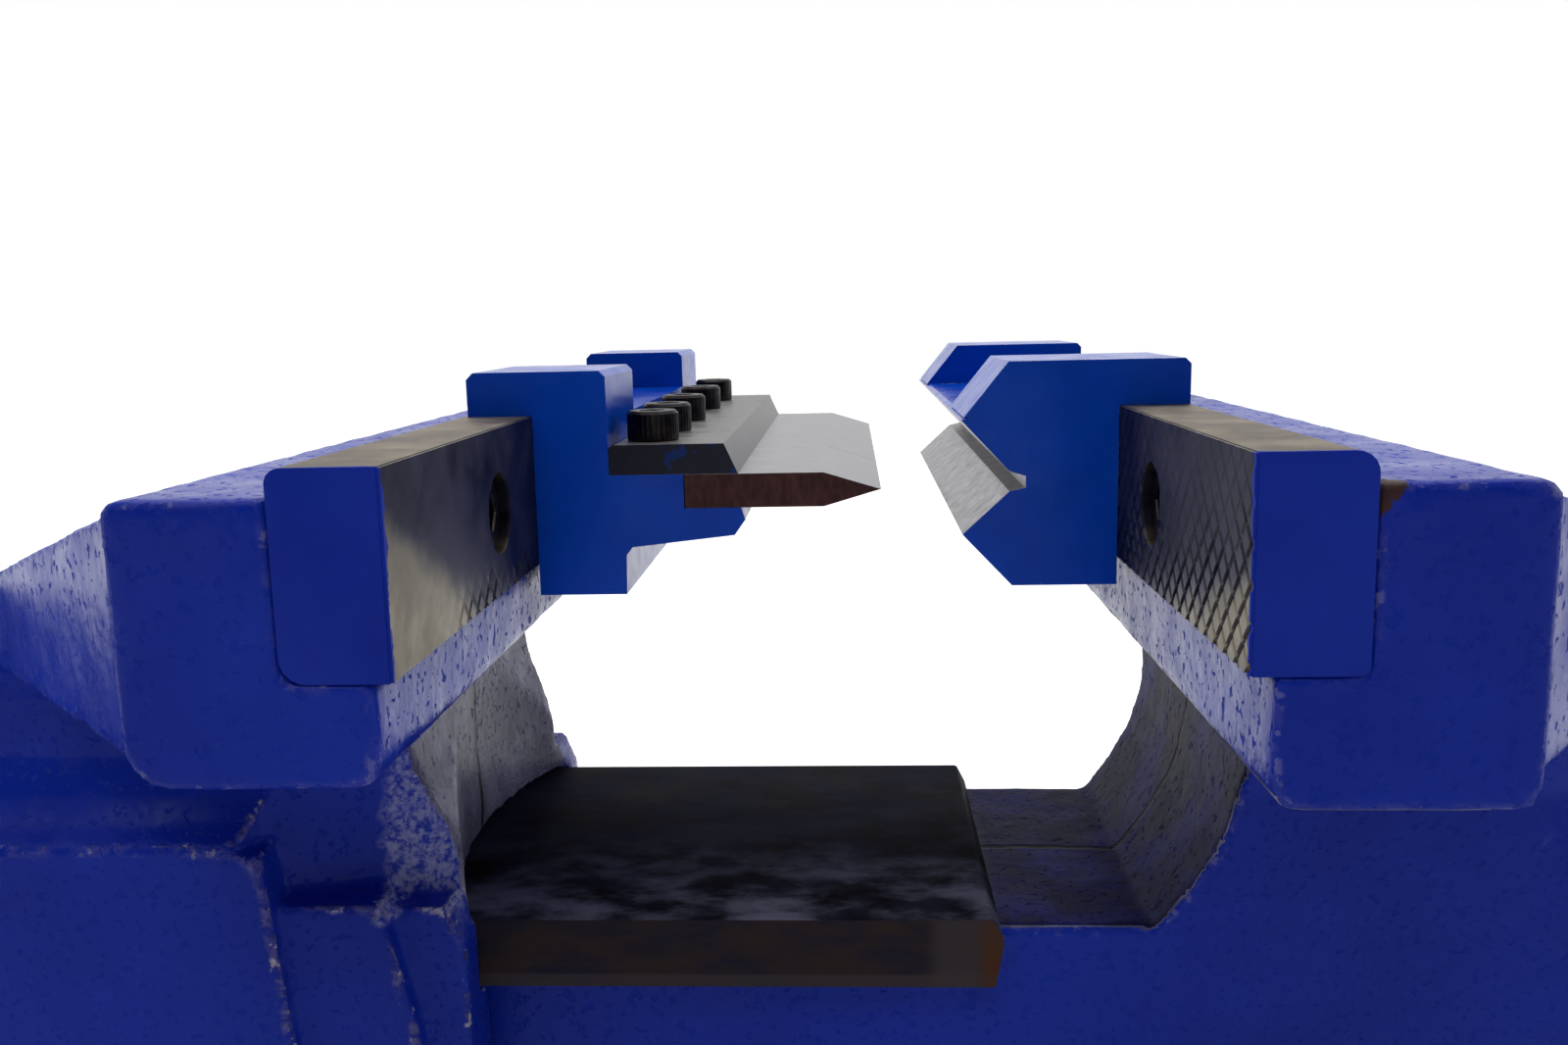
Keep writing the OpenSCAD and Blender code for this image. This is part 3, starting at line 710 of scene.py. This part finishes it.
# how deep the grooves still are, and how the bare worn patch lies; the fixed insert is worn nearly smooth
inserts = {
    "fixed": {"node": "fixed_jaw_insert", "side": 1, "depth": 0.30, "remains": (0.70, 1.05), "left": 0.05,
              "kept": (0.30, 0.60), "wornReach": 60.0, "wornFrom": 0.12, "wornSlope": 1.3,
              "upper": 1.8, "lower": 3.0},
    "moving": {"node": "moving_jaw_insert", "side": -1, "depth": 0.35, "remains": (0.1, 0.75), "left": 0.35,
               "kept": (-1.0, -0.5), "wornReach": 55.0, "wornFrom": 0.50, "wornSlope": 0.65,
               "upper": 2.4, "lower": 1.0},
}


def grooveLines(solid, direction, span):
    # cut both edges and the bottom line of each groove into the flat sheet
    pitch, half = serration["pitch"] * mm, serration["groove"] / 2 * mm
    across = Vector((0, -math.sin(direction), math.cos(direction)))
    count = int(span / pitch) + 1
    for step in range(-count, count + 1):
        for offset in (-half, 0, half):
            geometry = solid.verts[:] + solid.edges[:] + solid.faces[:]
            bmesh.ops.bisect_plane(solid, geom=geometry, dist=0.001 * mm,
                                   plane_co=across * (step * pitch + offset), plane_no=across)
    return across


def serratedPlate(low, high, insert):
    # a thin slab whose gripping face carries the crossed grooves
    side = insert["side"]
    face = high.x if side > 0 else low.x
    edge = serration["rim"] * mm
    middle = Vector((0, 0, (low.z + high.z) / 2))
    halfY, halfZ = (high.y - low.y) / 2 - edge, (high.z - low.z) / 2 - edge
    solid = bmesh.new()
    corners = [solid.verts.new((0, y, z)) for y, z in
               ((-halfY, -halfZ), (halfY, -halfZ), (halfY, halfZ), (-halfY, halfZ))]
    solid.faces.new(corners)
    lean = math.radians(serration["angle"])
    families = [grooveLines(solid, turn, (halfY + halfZ) * 0.75) for turn in (lean, -lean)]
    pitch, half = serration["pitch"] * mm, serration["groove"] / 2 * mm
    grooveMark = solid.verts.layers.float.new("groove")
    wornMark = solid.verts.layers.float.new("worn")
    for vertex in solid.verts:
        cut = 0.0
        for across in families:
            along = vertex.co.dot(across) / pitch
            near = abs(along - round(along)) * pitch
            cut = max(cut, 1 - near / half)
        down = (halfZ - vertex.co.z) / (2 * halfZ)
        inward = (halfY - abs(vertex.co.y)) / mm / insert["wornReach"]
        chance = noiseAt(vertex.co * 90)
        remains = ramped(down + 0.25 * chance, *insert["remains"]) * ramped(inward, *insert["kept"])
        remains = max(insert["left"], remains)
        vertex[grooveMark] = max(0.0, cut) * remains
        vertex[wornMark] = ramped(down - insert["wornFrom"] - insert["wornSlope"] * inward, -0.15, 0.25)
        vertex.co.x = -insert["depth"] * mm * max(0.0, cut) * remains
    rim = [edge for edge in solid.edges if edge.is_boundary]
    grown = bmesh.ops.extrude_edge_only(solid, edges=rim)["geom"]
    for vertex in grown:
        if isinstance(vertex, bmesh.types.BMVert):
            vertex.co.x = -serration["backing"] * mm
    backEdges = [item for item in grown if isinstance(item, bmesh.types.BMEdge) and item.is_boundary]
    bmesh.ops.edgeloop_fill(solid, edges=backEdges)
    for vertex in solid.verts:
        vertex.co.x = face + vertex.co.x * side
        vertex.co += middle
    bmesh.ops.recalc_face_normals(solid, faces=solid.faces)
    return meshOf(solid, "plate")


def cylinderX(x0, x1, radius, y, z, sides=48):
    solid = bmesh.new()
    turn = Matrix.Rotation(math.radians(90), 4, "Y")
    place = Matrix.Translation(((x0 + x1) / 2, y, z)) @ turn
    bmesh.ops.create_cone(solid, cap_ends=True, segments=sides, radius1=radius, radius2=radius,
                          depth=abs(x1 - x0), matrix=place)
    return solid


def drilled(mesh, low, high):
    # the two screw holes, right through
    cutter = bmesh.new()
    for y in (-serration["screwRow"] * mm, serration["screwRow"] * mm):
        hole = cylinderX(low.x - 2 * mm, high.x + 2 * mm, serration["screwHole"] * mm, y,
                         high.z - serration["screwDrop"] * mm)
        cutter.from_mesh(meshOf(hole, "hole"))
    tool = holderFor("holes", meshOf(cutter, "holes"))
    holder = holderFor("drilled", mesh)
    cut = holder.modifiers.new("Cut", "BOOLEAN")
    cut.object = tool
    cut.operation = "DIFFERENCE"
    cut.solver = "EXACT"
    result = evaluatedMesh(holder)
    bpy.data.objects.remove(tool)
    return result


def roundedOutline(corners, steps=5):
    # corners are (x, z, radius) in order; each is rounded by its own radius
    outline = []
    for i, (x, z, radius) in enumerate(corners):
        here = Vector((x, z))
        before = (Vector(corners[i - 1][:2]) - here).normalized()
        after = (Vector(corners[(i + 1) % len(corners)][:2]) - here).normalized()
        half = before.angle(after) / 2
        reach = radius / math.tan(half)
        centre = here + (before + after).normalized() * radius / math.sin(half)
        start, end = here + before * reach - centre, here + after * reach - centre
        for step in range(steps + 1):
            part = start.lerp(end, step / steps)
            outline.append(tuple(centre + part.normalized() * radius))
    return outline


def insertBody(low, high, insert):
    # the block behind the plate, its outer corners rounded over by the paint
    side = insert["side"]
    front = (high.x if side > 0 else low.x) - serration["setBack"] * mm * side
    back = low.x if side > 0 else high.x
    square = serration["square"] * mm
    outline = roundedOutline([(front, high.z, square), (back, high.z, insert["upper"] * mm),
                              (back, low.z, insert["lower"] * mm), (front, low.z, square)])
    solid = extrudedY(outline, high.y)
    ends = [edge for edge in solid.edges if abs(edge.verts[0].co.y - edge.verts[1].co.y) < 0.01 * mm
            and abs((edge.verts[0].co.x + edge.verts[1].co.x) / 2 - front) > 0.2 * mm]
    bmesh.ops.bevel(solid, geom=ends, offset=serration["paintedCorner"] * mm, offset_type="OFFSET",
                    segments=3, profile=0.5, affect="EDGES", clamp_overlap=True)
    return meshOf(solid, "insert_body")


def addInsert(which, insert):
    node = insert["node"]
    low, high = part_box(node)
    plate = drilled(serratedPlate(low, high, insert), low, high)
    shadeByAngle(plate, 8)
    addPiece(which + "_insert_serrations", plate, wholePart[node], slotOf[node])
    block = drilled(insertBody(low, high, insert), low, high)
    shadeByAngle(block, 40)
    addPiece(which + "_insert_body", block, wholePart[node], slotOf[node], None, [node])


for insertName, insertValues in inserts.items():
    addInsert(insertName, insertValues)
print("inserts made")


screwHeads = {
    "clamp_screws": {"radius": 4.3, "height": 5.0, "shank": 2.45, "length": 12.5, "socket": 2.2},
    "insert_screws": {"radius": 5.6, "height": 6.4, "shank": 3.9, "length": 19.0, "socket": 2.9},
    "nut_bolts": {"radius": 6.4, "height": 5.0, "shank": 3.9, "length": 14.5, "socket": 2.9},
    "rear_cover_screws": {"radius": 4.5, "height": 4.0, "shank": 2.45, "length": 15.0, "socket": 2.1},
}


def capScrewMesh(name, size, steps=72):
    # one closed lathe: shank, knurled head, chamfer and hexagon socket
    radius, height, shank = size["radius"] * mm, size["height"] * mm, size["shank"] * mm
    knurl, chamfer, socketChamfer, socketDepth, point = (depth * mm for depth in (0.10, 0.5, 0.25, 2.6, 0.5))
    flat = math.radians(60)

    def hexRadius(angle):
        return size["socket"] * mm * math.cos(flat / 2) / math.cos(angle % flat - flat / 2)

    def knurled(angle, step):
        return radius - (knurl if step % 2 else 0.0)

    rings = [
        (-size["length"] * mm, lambda angle, step: shank * 0.8),
        (-size["length"] * mm + point, lambda angle, step: shank),
        (0.0, lambda angle, step: shank),
        (0.0, lambda angle, step: radius - chamfer * 0.5),
        (chamfer * 0.5, knurled),
        (height - chamfer, knurled),
        (height, lambda angle, step: radius - chamfer),
        (height, lambda angle, step: hexRadius(angle) * 1.12),
        (height - socketChamfer, lambda angle, step: hexRadius(angle)),
        (height - socketDepth, lambda angle, step: hexRadius(angle)),
    ]
    solid = bmesh.new()
    loops = []
    for z, reach in rings:
        angles = [2 * math.pi * step / steps for step in range(steps)]
        loops.append([solid.verts.new((reach(a, i) * math.cos(a), reach(a, i) * math.sin(a), z))
                      for i, a in enumerate(angles)])
    for lower, upper in zip(loops, loops[1:]):
        for i in range(steps):
            j = (i + 1) % steps
            solid.faces.new((lower[i], lower[j], upper[j], upper[i]))
    for loop, depth in ((loops[0], 0.0), (loops[-1], -point)):
        tip = solid.verts.new((0, 0, loop[0].co.z + depth))
        for i in range(steps):
            solid.faces.new((loop[i], loop[(i + 1) % steps], tip))
    bmesh.ops.recalc_face_normals(solid, faces=solid.faces)
    mesh = meshOf(solid, name)
    shadeByAngle(mesh, 35)
    return mesh


def screwLayoutTree():
    tree = bpy.data.node_groups.new("screwLayout", "GeometryNodeTree")
    for label, kind in (("Places", "Geometry"), ("Screw", "Object"), ("Turn", "Vector"),
                        ("Spread of turns", "Float"), ("Seed", "Int"), ("Finish", "Material")):
        tree.interface.new_socket(label, in_out="INPUT", socket_type="NodeSocket" + kind)
    tree.interface.new_socket("Screws", in_out="OUTPUT", socket_type="NodeSocketGeometry")
    inputs = tree.nodes.new("NodeGroupInput")
    output = tree.nodes.new("NodeGroupOutput")
    points = tree.nodes.new("GeometryNodeMeshToPoints")
    screw = tree.nodes.new("GeometryNodeObjectInfo")
    place = tree.nodes.new("GeometryNodeInstanceOnPoints")
    chance = tree.nodes.new("FunctionNodeRandomValue")
    spin = tree.nodes.new("ShaderNodeCombineXYZ")
    turn = tree.nodes.new("GeometryNodeRotateInstances")
    realize = tree.nodes.new("GeometryNodeRealizeInstances")
    paint = tree.nodes.new("GeometryNodeSetMaterial")
    given, made = inputs.outputs, place.outputs
    for source, target in (
            (given["Places"], points.inputs["Mesh"]), (given["Screw"], screw.inputs["Object"]),
            (points.outputs[0], place.inputs["Points"]),
            (screw.outputs["Geometry"], place.inputs["Instance"]),
            (given["Turn"], place.inputs["Rotation"]), (given["Spread of turns"], chance.inputs["Max"]),
            (given["Seed"], chance.inputs["Seed"]), (chance.outputs["Value"], spin.inputs["Z"]),
            (made["Instances"], turn.inputs["Instances"]), (spin.outputs["Vector"], turn.inputs["Rotation"]),
            (turn.outputs["Instances"], realize.inputs["Geometry"]),
            (realize.outputs["Geometry"], paint.inputs["Geometry"]),
            (given["Finish"], paint.inputs["Material"]),
            (paint.outputs["Geometry"], output.inputs["Screws"])):
        tree.links.new(source, target)
    return tree


screwLayout = screwLayoutTree()


def layOut(name, places, prototype, turn, finish):
    points = bpy.data.meshes.new(name + "_places")
    points.from_pydata(places, [], [])
    holder = holderFor(name, points)
    original = holderFor(name + "_one", prototype)
    nodes = holder.modifiers.new("Layout", "NODES")
    nodes.node_group = screwLayout
    values = {"Screw": original, "Turn": turn, "Spread of turns": math.radians(60), "Seed": 7,
              "Finish": finish}
    for item in screwLayout.interface.items_tree:
        if item.in_out == "INPUT" and item.name in values:
            nodes[item.identifier] = values[item.name]
    mesh = evaluatedMesh(holder)
    bpy.data.objects.remove(original)
    return mesh


def islandBoxes(node):
    # lowest and highest corner of each separate solid of a CAD node
    mesh, solid = mergedCopy(node)
    bpy.data.meshes.remove(mesh)
    solid.verts.index_update()
    seen, boxes = set(), []
    for start in solid.verts:
        if start.index in seen:
            continue
        stack, island = [start], []
        while stack:
            vertex = stack.pop()
            if vertex.index in seen:
                continue
            seen.add(vertex.index)
            island.append(vertex.co.copy())
            stack.extend(edge.other_vert(vertex) for edge in vertex.link_edges)
        boxes.append([[edgeOf(co[axis] for co in island) for axis in range(3)] for edgeOf in (min, max)])
    solid.free()
    return boxes


def addScrews(node, kind, axis, headEnd):
    # axis is 0 for screws along X and 2 for upright ones; headEnd is 1 where the heads are at its high end
    size = screwHeads[kind]
    places = []
    for corners in islandBoxes(node):
        middle = [(low + high) / 2 for low, high in zip(*corners)]
        outer = corners[1] if headEnd > 0 else corners[0]
        middle[axis] = outer[axis] - size["height"] * mm * headEnd
        places.append(middle)
    turn = (0, 0, 0) if axis == 2 else (0, math.radians(90) * headEnd, 0)
    mesh = layOut(node, places, capScrewMesh(node + "_one", size), turn, finishes["black_oxide"])
    addPiece(node + "_finished", mesh, wholePart[node], slotOf[node], None, [node])


addScrews("clamp_screws", "clamp_screws", 2, 1)
addScrews("fixed_insert_screws", "insert_screws", 0, 1)
addScrews("moving_insert_screws", "insert_screws", 0, -1)
addScrews("nut_bolts", "nut_bolts", 2, 1)
addScrews("rear_cover_screws", "rear_cover_screws", 0, -1)
print("screws laid out")


leadScrew = {"pitch": 5.0, "shank": 14.0, "crest": 13.9, "root": 11.4, "stepsPerTurn": 28,
             "threadLead": 3.0, "threadGap": 8.0, "taper": 0.4, "footHalf": 0.36, "crestHalf": 0.17,
             "buried": 0.5}


def threadRidge(start, end, axisZ):
    # trapezoid thread: one closed strip wound round the core, thinning out at both ends
    pitch, crest, root = (leadScrew[key] * mm for key in ("pitch", "crest", "root"))
    steps = leadScrew["stepsPerTurn"]
    total = int((end - start) / pitch * steps)
    foot, crestHalf, buried = leadScrew["footHalf"], leadScrew["crestHalf"], root - leadScrew["buried"] * mm
    solid = bmesh.new()
    rings = []
    for step in range(total + 1):
        angle = 2 * math.pi * step / steps
        fade = min(1.0, step / (steps * leadScrew["taper"]), (total - step) / (steps * leadScrew["taper"]))
        high = root + (crest - root) * max(0.02, fade)
        middle = start + pitch * step / steps
        section = ((-foot, buried), (-crestHalf, high), (crestHalf, high), (foot, buried))
        rings.append([solid.verts.new((middle + along * pitch, radius * math.cos(angle),
                                       axisZ + radius * math.sin(angle))) for along, radius in section])
    for before, after in zip(rings, rings[1:]):
        for i in range(4):
            j = (i + 1) % 4
            solid.faces.new((before[i], before[j], after[j], after[i]))
    solid.faces.new(rings[0])
    solid.faces.new(list(reversed(rings[-1])))
    bmesh.ops.recalc_face_normals(solid, faces=solid.faces)
    return solid


def addLeadScrew():
    low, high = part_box("lead_screw")
    washerLow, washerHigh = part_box("thrust_washer")
    axisZ = (washerLow.z + washerHigh.z) / 2
    start = low.x + leadScrew["threadLead"] * mm
    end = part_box("retaining_collar")[0].x - leadScrew["threadGap"] * mm
    mesh, solid = mergedCopy("lead_screw")
    breakEdges(solid, 0.5)
    for cut in (end, end + 2 * mm):
        bmesh.ops.bisect_plane(solid, geom=solid.verts[:] + solid.edges[:] + solid.faces[:], dist=0.001 * mm,
                               plane_co=(cut, 0, 0), plane_no=(1, 0, 0))
    thin = leadScrew["root"] / leadScrew["shank"]
    for vertex in solid.verts:
        if vertex.co.x < end + 0.1 * mm:
            vertex.co.y *= thin
            vertex.co.z = axisZ + (vertex.co.z - axisZ) * thin
    solid.from_mesh(meshOf(threadRidge(start, end, axisZ), "thread"))
    solid.to_mesh(mesh)
    solid.free()
    shadeByAngle(mesh, 35)
    addPiece("lead_screw_finished", mesh, "screw", slotOf["lead_screw"], None, ["lead_screw"])


addLeadScrew()
print("lead screw threaded")


# width of the broken edge in millimetres
edges = {
    "pivot_stud": 0.5, "rear_cover": 0.6, "screw_nut": 0.8,
    "thrust_washer": 0.4, "retaining_collar": 0.5, "collar_pin": 0.3,
    "handle_bar": 0.4, "near_handle_knob": 0.3, "far_handle_knob": 0.3,
    "near_lock_bolt": 0.5, "far_lock_bolt": 0.5, "near_lock_lever": 0.8, "far_lock_lever": 0.8,
    "punch_holder": 0.4, "clamp_bar": 0.35,
    "near_punch_finger": 0.12, "middle_punch_finger": 0.12, "far_punch_finger": 0.12,
    "holder_magnets": 0.2, "die_magnets": 0.2,
}
otherFinish = {"clamp_bar": "bar_steel"}
ridgeAngle = {"punch_holder": 15, "clamp_bar": 15, "near_punch_finger": 15, "middle_punch_finger": 15,
              "far_punch_finger": 15}
for edgedName, edgeWidth in edges.items():
    edgedPiece(edgedName, edgeWidth, otherFinish.get(edgedName), ridgeAngle.get(edgedName, 28))


def addDie():
    # painted block; the vee and its relief slot are left bare
    vee = {"reach": 10.6, "from": 1.2, "to": 21.0, "lipDepth": 2.4, "broken": 0.3, "sharp": 15}
    mesh = edgedMesh("die_block", vee["broken"], vee["sharp"])
    mesh.materials.append(finishes["tool_paint"])
    mesh.materials.append(finishes["vee_steel"])
    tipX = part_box("die_block")[0].x
    for face in mesh.polygons:
        depth = (jawTop - face.center.z) / mm
        inward = (face.center.x - tipX) / mm
        inVee = inward < vee["reach"] and vee["from"] < depth < vee["to"] and abs(face.normal.y) < 0.5
        onLip = depth < vee["lipDepth"] and face.normal.z > 0.2
        if inVee and not onLip:
            face.material_index = 1
    addPiece("die_block_finished", mesh, "die", "tool_paint", None, ["die_block"])


addDie()
print("machined parts made")


def addStage(reach=4.0, sides=64):
    # one wide round floor
    turns = [2 * math.pi * step / sides for step in range(sides)]
    verts = [(gapX + reach * math.cos(turn), reach * math.sin(turn), 0) for turn in turns]
    mesh = bpy.data.meshes.new("floor")
    mesh.from_pydata(verts, [], [list(range(sides))])
    material, tree, shader, place = startMaterial("paleFloor", 0.9)
    shade = mixColour(tree, noise(tree, place, 0.2, 3), (0.70, 0.70, 0.70, 1), (0.74, 0.74, 0.74, 1))
    tree.links.new(shade, shader.inputs["Base Color"])
    shader.inputs["Emission Color"].default_value = white
    # evenly white further out, soft shade round the vise
    spot = separate(tree, place)
    offX = maths(tree, "SUBTRACT", spot["X"], gapX)
    offY = maths(tree, "ADD", spot["Y"], 0.6)
    spread = maths(tree, "ADD", times(tree, offX, offX), times(tree, offY, offY))
    distance = maths(tree, "DIVIDE", maths(tree, "SQRT", spread), 2.0)
    glow = ramp(tree, distance, [(0.42, 0.0), (0.60, 0.9)])
    tree.links.new(glow, shader.inputs["Emission Strength"])
    mesh.materials.append(material)
    floor = bpy.data.objects.new("floor", mesh)
    bpy.context.scene.collection.objects.link(floor)


def addLight(name, place, size, power):
    light = bpy.data.lights.new(name, "AREA")
    light.shape = "RECTANGLE"
    light.size, light.size_y = size
    light.energy = power
    holder = bpy.data.objects.new(name, light)
    holder.location = place
    holder.rotation_mode = "QUATERNION"
    holder.rotation_quaternion = (aim - Vector(place)).to_track_quat("-Z", "Y")
    bpy.context.scene.collection.objects.link(holder)


def addCamera():
    # stands close to the near jaw ends, a little above the jaw tops
    view = {"aside": 4.3 * mm, "away": 141.0 * mm, "above": 15.5 * mm,
            "down": 0.1566, "turn": -0.0512, "tilt": 0.0222, "lens": 30.375, "sensor": 36}
    forward = Vector((math.sin(view["turn"]) * math.cos(view["down"]),
                      math.cos(view["turn"]) * math.cos(view["down"]), -math.sin(view["down"])))
    level = Vector((math.cos(view["turn"]), -math.sin(view["turn"]), 0))
    under = forward.cross(level)
    right = level * math.cos(view["tilt"]) + under * math.sin(view["tilt"])
    down = under * math.cos(view["tilt"]) - level * math.sin(view["tilt"])
    data = bpy.data.cameras.new("camera")
    data.lens = view["lens"]
    data.sensor_width = view["sensor"]
    data.clip_start = 0.01
    camera = bpy.data.objects.new("camera", data)
    stand = (gapX + view["aside"], nearEnd - view["away"], jawTop + view["above"])
    camera.matrix_world = Matrix.Translation(stand) @ Matrix((right, -down, -forward)).transposed().to_4x4()
    bpy.context.scene.collection.objects.link(camera)
    bpy.context.scene.camera = camera


def addWorld():
    # bright beyond the vise and overhead, dim on the near side; plain white behind everything
    level = {"near": 0.02, "far": 0.95, "over": 0.40}
    world = bpy.data.worlds.new("studio")
    world.use_nodes = True
    tree = world.node_tree
    background = tree.nodes["Background"]
    direction = tree.nodes.new("ShaderNodeTexCoord").outputs["Generated"]
    way = separate(tree, direction)
    across = maths(tree, "ADD", times(tree, way["Y"], 0.5), 0.5)
    between = (level["near"] + level["far"]) / 2.6
    along = ramp(tree, across, [(0.25, level["near"]), (0.5, between), (0.75, level["far"])])
    upward = ramp(tree, way["Z"], [(0.25, 0.0), (0.85, 1.0)])
    sky = mixColour(tree, upward, along, (level["over"], level["over"], level["over"], 1))
    seen = tree.nodes.new("ShaderNodeLightPath").outputs["Is Camera Ray"]
    tree.links.new(mixColour(tree, seen, sky, white), background.inputs["Color"])
    bpy.context.scene.world = world


addStage()
aim = Vector((gapX, 0, jawTop - 0.03))
# name: sideways from the gap, along the jaws, above their tops, size, power
panels = {
    "topPanel": (0, 0.30, 1.0, (1.2, 0.8), 6),
    "leftPanel": (-1.2, 0.1, 0.5, (0.8, 0.8), 2.5),
    "rightPanel": (1.2, 0.1, 0.5, (0.8, 0.8), 2.5),
    "frontPanel": (-0.3, -0.8, 1.2, (1.0, 0.6), 3.7),
}
for panelName, (aside, along, above, panelSize, panelPower) in panels.items():
    addLight(panelName, (gapX + aside, along, jawTop + above), panelSize, panelPower)
addWorld()
bpy.context.scene.view_settings.view_transform = "Standard"
addCamera()
print("stage, light and camera made")
